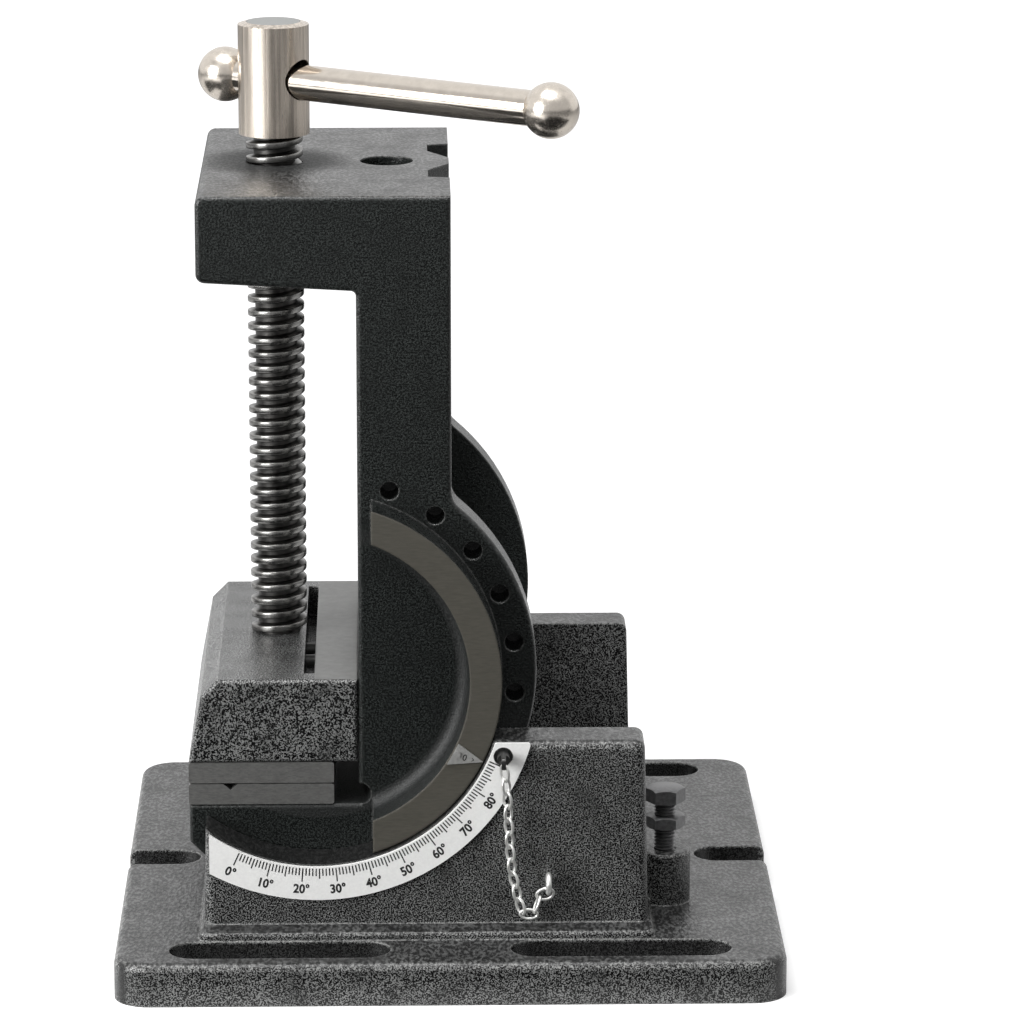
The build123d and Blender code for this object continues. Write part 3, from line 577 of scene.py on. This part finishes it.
def makeScaleMarks(s):
    bm = bmesh.new()
    onFace = Matrix.Translation((pivot.x, s["face"] - s["proud"] / 2, pivot.z))
    for degree in range(s["end"]):
        turn = Matrix.Rotation(radians(s["zeroAt"] - degree), 4, "Y")
        length = s["long"] if degree % 10 == 0 else s["middle"] if degree % 5 == 0 else s["short"]
        spot = Matrix.Translation((s["innerRadius"] + length / 2, 0, 0))
        size = Matrix.Diagonal((length, s["proud"], s["line"], 1))
        bmesh.ops.create_cube(bm, size=1, matrix=onFace @ turn @ spot @ size)
    for degree in range(0, s["digitsEnd"], 10):
        angle = radians(s["zeroAt"] - degree)
        spot = Matrix.Translation((s["digitRadius"] * cos(angle), 0, -s["digitRadius"] * sin(angle)))
        face = Matrix.Rotation(angle - pi / 2, 4, "Y") @ Matrix.Rotation(pi / 2, 4, "X")
        addText(bm, "%d°" % degree, s["digitHeight"], onFace @ spot @ face, s["proud"], s["stroke"])
    finishPiece("scaleMarks", bm, made["blackInk"], "base", (), sharpAngle=20)


makeScaleMarks(scaleMarks)

# the zero and the arrow are each placed by radius and angle round the tilt axis
pointerMark = {
    "face": -68.6, "proud": 0.03, "zero": (46.0, 27.6), "arrow": (48.6, 26.9), "turn": 15.0, "height": 1.9,
    "stroke": 0.03, "arrowSize": 0.75, "line": 0.2, "lean": 35,
}


def makePointerMark(s):
    bm = bmesh.new()
    for kind in ("zero", "arrow"):
        radius, angle = s[kind]
        spot = Matrix.Translation((pivot.x + radius * cos(radians(angle)), s["face"] - s["proud"] / 2,
                                   pivot.z - radius * sin(radians(angle))))
        face = Matrix.Rotation(radians(s["turn"]), 4, "Y") @ Matrix.Rotation(pi / 2, 4, "X")
        if kind == "zero":
            addText(bm, "0", s["height"], spot @ face, s["proud"], s["stroke"])
            continue
        size = Matrix.Diagonal((s["arrowSize"], s["line"], s["proud"], 1))
        leg = Matrix.Translation((-s["arrowSize"] / 2, 0, 0)) @ size
        for lean in (-s["lean"], s["lean"]):
            turn = Matrix.Rotation(radians(lean), 4, "Z")
            bmesh.ops.create_cube(bm, size=1, matrix=spot @ face @ turn @ leg)
    finishPiece("pointerZero", bm, made["blackInk"], "body", (), sharpAngle=20)


makePointerMark(pointerMark)
print("scale marks made")


# chain from the lock pin to its eye

chain = {
    "line": ((14.9, -76.8, 61.6), (15.9, -76.2, 51.0), (16.4, -75.4, 41.0), (17.2, -74.8, 31.0),
             (18.6, -74.6, 23.9), (20.0, -74.6, 18.75)),
    "lineSteps": 24, "links": 11, "length": 5.7, "width": 3.6, "wire": 0.42, "twist": 42, "wireSides": 8,
    "sections": 20, "lastLinks": (
        {"at": (21.8, -74.6, 18.3), "along": (1, 0, -0.06), "facing": (0, 1, 0.1), "width": 3.6},
        {"at": (24.04, -74.6, 21.1), "along": (0.35, 0, 0.94), "facing": (0.94, 0.15, -0.35), "width": 3.6},
        {"at": (26.3, -74.6, 24.1), "along": (1, 0, 0.25), "facing": (0, 1, 0.3), "width": 4.4},
    ),
}


def chainLine(points, steps):
    # a smooth curve through the points, read back as a fine polyline
    curve = bpy.data.curves.new("chainLine", "CURVE")
    curve.dimensions = "3D"
    curve.resolution_u = steps
    spline = curve.splines.new("BEZIER")
    spline.bezier_points.add(len(points) - 1)
    for knot, point in zip(spline.bezier_points, points):
        knot.co = point
        knot.handle_left_type = knot.handle_right_type = "AUTO"
    holder = bpy.data.objects.new("chainLine", curve)
    scene.collection.objects.link(holder)
    bpy.context.view_layer.update()
    mesh = bpy.data.meshes.new_from_object(holder.evaluated_get(bpy.context.evaluated_depsgraph_get()))
    line = [v.co.copy() for v in mesh.vertices]
    bpy.data.objects.remove(holder)
    bpy.data.curves.remove(curve)
    bpy.data.meshes.remove(mesh)
    return line


def pointAlong(line, distance):
    for a, b in zip(line, line[1:]):
        step = (b - a).length
        if distance <= step:
            return a.lerp(b, distance / step), (b - a).normalized()
        distance -= step
    return line[-1], (line[-1] - line[-2]).normalized()


def addLink(bm, place, s, width):
    # a round wire ring, pushed outwards into an oval link
    before = set(bm.verts)
    length, wire, sides = s["length"], s["wire"], s["wireSides"]
    start = Matrix.Translation((width / 2, 0, 0)) @ Matrix.Rotation(pi / 2, 4, "X")
    ring = bmesh.ops.create_circle(bm, cap_ends=False, radius=wire, segments=sides, matrix=start)["verts"]
    rim = {e for v in ring for e in v.link_edges}
    bmesh.ops.spin(bm, geom=ring + list(rim), cent=(0, 0, 0), axis=(0, 0, 1), angle=2 * pi, steps=s["sections"],
                   use_merge=True)
    made = [v for v in bm.verts if v not in before]
    for v in made:
        around = atan2(v.co.y, v.co.x)
        v.co.x += (length / 2 - wire - width / 2) * cos(around)
        v.co.y -= wire * sin(around)
    bmesh.ops.transform(bm, matrix=place, verts=made)


def linkPlace(spot, along, facing):
    along = along.normalized()
    facing = (facing - along * facing.dot(along)).normalized()
    place = Matrix((along, facing.cross(along), facing)).transposed().to_4x4()
    place.translation = spot
    return place


def makeChain(s):
    line = chainLine(s["line"], s["lineSteps"])
    total = sum((b - a).length for a, b in zip(line, line[1:]))
    bm = bmesh.new()
    for number in range(s["links"]):
        spot, along = pointAlong(line, total * (number + 0.5) / s["links"])
        turn = s["twist"] if number % 2 == 0 else s["twist"] - 90
        facing = Matrix.Rotation(radians(turn), 3, along) @ Vector((0, 1, 0))
        addLink(bm, linkPlace(spot, along, facing), s, s["width"])
    for link in s["lastLinks"]:
        place = linkPlace(Vector(link["at"]), Vector(link["along"]), Vector(link["facing"]))
        addLink(bm, place, s, link["width"])
    return finishPiece("chainOfLinks", bm, made["brightZinc"], None, ["chain_links"],
                       sharpAngle=60)


chainPiece = makeChain(chain)
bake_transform(chainPiece)
print("chain made")


# stop bolt and its nut

stopBolt = {
    "centre": (61.0, -42.0), "flats": 10.0, "headLow": 41.1, "headHigh": 45.1, "shankLow": 12.1,
    "radius": 3.0, "rootRadius": 2.4, "pitch": 1.0, "crest": 0.15, "root": 0.2, "edge": 0.05, "steps": 24,
    "nutLow": 33.5, "nutHigh": 37.0,
}


def makeStopBolt(s):
    bm = bmesh.new()
    turnedHexagon(bm, s["flats"], s["headLow"], s["headHigh"])
    cutThread(bm, s, s["shankLow"], s["headLow"], (0, 0), s["steps"])
    bmesh.ops.translate(bm, vec=(*s["centre"], 0), verts=bm.verts)
    finishPiece("stopBoltDetailed", bm, made["blackOxide"], "stop_bolt", ["stop_bolt"],
                sharpAngle=35)


def makeJamNut(s):
    bm = bmesh.new()
    turnedHexagon(bm, s["flats"], s["nutLow"], s["nutHigh"], turnBottom=True)
    bmesh.ops.translate(bm, vec=(*s["centre"], 0), verts=bm.verts)
    finishPiece("jamNutDetailed", bm, made["blackOxide"], "jam_nut", ["jam_nut"],
                sharpAngle=35)


makeStopBolt(stopBolt)
makeJamNut(stopBolt)
print("stop bolt and nut made")


# finishes of the CAD nodes that stay

finishes = {
    "base_casting": castingHammerGlintCopy, "vise_body": bodyHammerShadedCopy, "moving_jaw": jawHammer, "screw_hub": nickelHub,
    "angle_scale": made["satinPlate"], "tilt_pointer": made["pointerPlate"],
    "pointer_rivet": made["pointerPlate"], "chain_eye": made["brightZinc"], "lock_pin": made["dullPin"],
    "fixed_jaw_plate": made["groundSteel"], "moving_jaw_plate": made["groundSteel"],
    "fixed_plate_screws": made["blackOxide"], "moving_plate_screws": made["blackOxide"],
    "jaw_keeper": made["groundSteel"], "keeper_screws": made["blackOxide"],
    "screw_retainers": made["groundSteel"], "handle_bar": made["nickelBar"],
    "handle_ball_front": made["nickelBall"], "handle_ball_rear": made["nickelBall"],
}
for nodeName, material in finishes.items():
    nodes[nodeName].data.materials.clear()
    nodes[nodeName].data.materials.append(material)
print("finishes given to", len(finishes), "nodes")


# floor, light and camera

studio = {
    "floorSize": 14.0, "floorColour": (0.80, 0.80, 0.80, 1), "floorRough": 0.9, "floorGloss": 0.0,
    "glowFrom": (0.5, 1.9), "floorGlow": (0.42, 1.0), "cardLift": 0.002, "cardStep": 0.0005,
    "skyStrength": 0.30, "skyTurn": 0.15, "skyBehind": 1.0,
    "skyInFront": ((0.0, 0.05), (0.06, 0.05), (0.12, 0.65), (0.75, 0.65), (0.85, 1.2)),
    "cards": (
        {"x": (-0.24, 0.50), "y": (-0.93, -0.106), "tone": 0.02, "dimsFloor": True},
        {"x": (-0.60, -0.17), "y": (-6.9, -0.93), "tone": 0.66, "dimsFloor": False},
        {"x": (-0.17, 0.03), "y": (-6.9, -0.93), "tone": 0.14, "dimsFloor": False},
        {"x": (0.03, 0.60), "y": (-6.9, -0.93), "tone": 0.42, "dimsFloor": False},
        {"x": (0.74, 1.9), "y": (-1.5, -0.34), "tone": 0.22, "dimsFloor": False},
        {"x": (-0.75, -0.24), "y": (-0.45, 0.15), "tone": 0.06, "dimsFloor": False},
    ),
}


def makeFloor(s):
    # the camera sees the floor glow more the further it is from the part, up to white
    bm = bmesh.new()
    bmesh.ops.create_grid(bm, x_segments=1, y_segments=1, size=s["floorSize"] / 2)
    mesh = bpy.data.meshes.new("studioFloor")
    bm.to_mesh(mesh)
    bm.free()
    material, tree, shader = newMaterial("paleFloor")
    shader.inputs["Base Color"].default_value = s["floorColour"]
    shader.inputs["Roughness"].default_value = s["floorRough"]
    shader.inputs["Specular IOR Level"].default_value = s["floorGloss"]
    path = addNode(tree, "ShaderNodeLightPath")
    away = addNode(tree, "ShaderNodeVectorMath", {0: objectPoint(tree)}, operation="LENGTH").outputs["Value"]
    shine = product(tree, path.outputs["Is Camera Ray"], mapRange(tree, away, *s["glowFrom"], *s["floorGlow"]))
    glow = addNode(tree, "ShaderNodeEmission", {"Color": (1, 1, 1, 1), "Strength": shine})
    both = addNode(tree, "ShaderNodeAddShader", {0: shader.outputs[0], 1: glow.outputs[0]})
    out = next(n for n in tree.nodes if n.type == "OUTPUT_MATERIAL")
    tree.links.new(both.outputs[0], out.inputs["Surface"])
    mesh.materials.append(material)
    plane = bpy.data.objects.new("studioFloor", mesh)
    scene.collection.objects.link(plane)


def makeCard(number, s, height):
    # a card just above the floor, hidden from the camera: it shows in gloss, and may dim the floor's light
    acrossX, alongY = s["x"], s["y"]
    bm = bmesh.new()
    middle = Vector((sum(acrossX) / 2, sum(alongY) / 2, height))
    size = Matrix.Diagonal((acrossX[1] - acrossX[0], alongY[1] - alongY[0], 1, 1))
    bmesh.ops.create_grid(bm, x_segments=1, y_segments=1, size=0.5, matrix=Matrix.Translation(middle) @ size)
    name = "darkCard%d" % number
    mesh = bpy.data.meshes.new(name)
    bm.to_mesh(mesh)
    bm.free()
    material, tree, _ = newMaterial(name)
    out = next(n for n in tree.nodes if n.type == "OUTPUT_MATERIAL")
    glow = addNode(tree, "ShaderNodeEmission", {"Color": (1, 1, 1, 1), "Strength": s["tone"]})
    tree.links.new(glow.outputs[0], out.inputs["Surface"])
    mesh.materials.append(material)
    card = bpy.data.objects.new(name, mesh)
    scene.collection.objects.link(card)
    card.visible_camera = card.visible_shadow = False
    card.visible_diffuse = s["dimsFloor"]


def makeWorld(s):
    # white to the camera, dim as a lamp, and in gloss a bright sky with a dark band low in front
    world = bpy.data.worlds.new("softSky")
    scene.world = world
    world.use_nodes = True
    tree = world.node_tree
    background = next(n for n in tree.nodes if n.type == "BACKGROUND")
    path = addNode(tree, "ShaderNodeLightPath")
    direction = addNode(tree, "ShaderNodeTexCoord").outputs["Generated"]
    towards = addNode(tree, "ShaderNodeSeparateXYZ", {0: direction}).outputs
    front = addNode(tree, "ShaderNodeValToRGB", {"Fac": towards["Z"]})
    stops = front.color_ramp.elements
    for position, tone in s["skyInFront"]:
        stop = stops.new(position)
        stop.color = (tone, tone, tone, 1)
    stops.remove(stops[-1])
    stops.remove(stops[0])
    isFront = mapRange(tree, towards["Y"], -s["skyTurn"], s["skyTurn"], 1, 0)
    glossy = mixValues(tree, isFront, s["skyBehind"], front.outputs["Color"])
    soft = mixValues(tree, path.outputs["Is Camera Ray"], s["skyStrength"], 1.0)
    strength = mixValues(tree, path.outputs["Is Glossy Ray"], soft, glossy)
    background.inputs["Color"].default_value = (1, 1, 1, 1)
    tree.links.new(strength, background.inputs["Strength"])


lamps = {
    "overhead": {"at": (-0.15, -0.30, 1.5), "size": (0.9, 0.5), "watts": 15},
    "leftFront": {"at": (-1.35, -0.95, 0.62), "size": (0.9, 0.9), "watts": 30},
}
lampTarget = Vector((0, 0, 0.1))


def makeLamp(name, s):
    light = bpy.data.lights.new(name, "AREA")
    light.shape = "RECTANGLE"
    light.size, light.size_y = s["size"]
    light.energy = s["watts"]
    lamp = bpy.data.objects.new(name, light)
    lamp.location = s["at"]
    lamp.rotation_euler = (lampTarget - Vector(s["at"])).to_track_quat("-Z", "Y").to_euler()
    scene.collection.objects.link(lamp)


makeFloor(studio)
makeWorld(studio)
for number, card in enumerate(studio["cards"]):
    makeCard(number, card, studio["cardLift"] + studio["cardStep"] * number)
for lampName, settings in lamps.items():
    makeLamp(lampName, settings)

# fitted to the edges of the base in the photo
view = {
    "at": (-0.0136, -1.5177, 0.4914), "down": 13.94, "turn": -1.22, "lens": 192.2, "sensor": 36, "farClip": 50,
}
camera = bpy.data.cameras.new("camera")
camera.lens = view["lens"]
camera.sensor_width = view["sensor"]
camera.clip_end = view["farClip"]
cameraObject = bpy.data.objects.new("camera", camera)
cameraObject.location = view["at"]
cameraObject.rotation_euler = (radians(90 - view["down"]), 0, radians(view["turn"]))
scene.collection.objects.link(cameraObject)
scene.camera = cameraObject
scene.view_settings.view_transform = "Standard"
print("studio made")
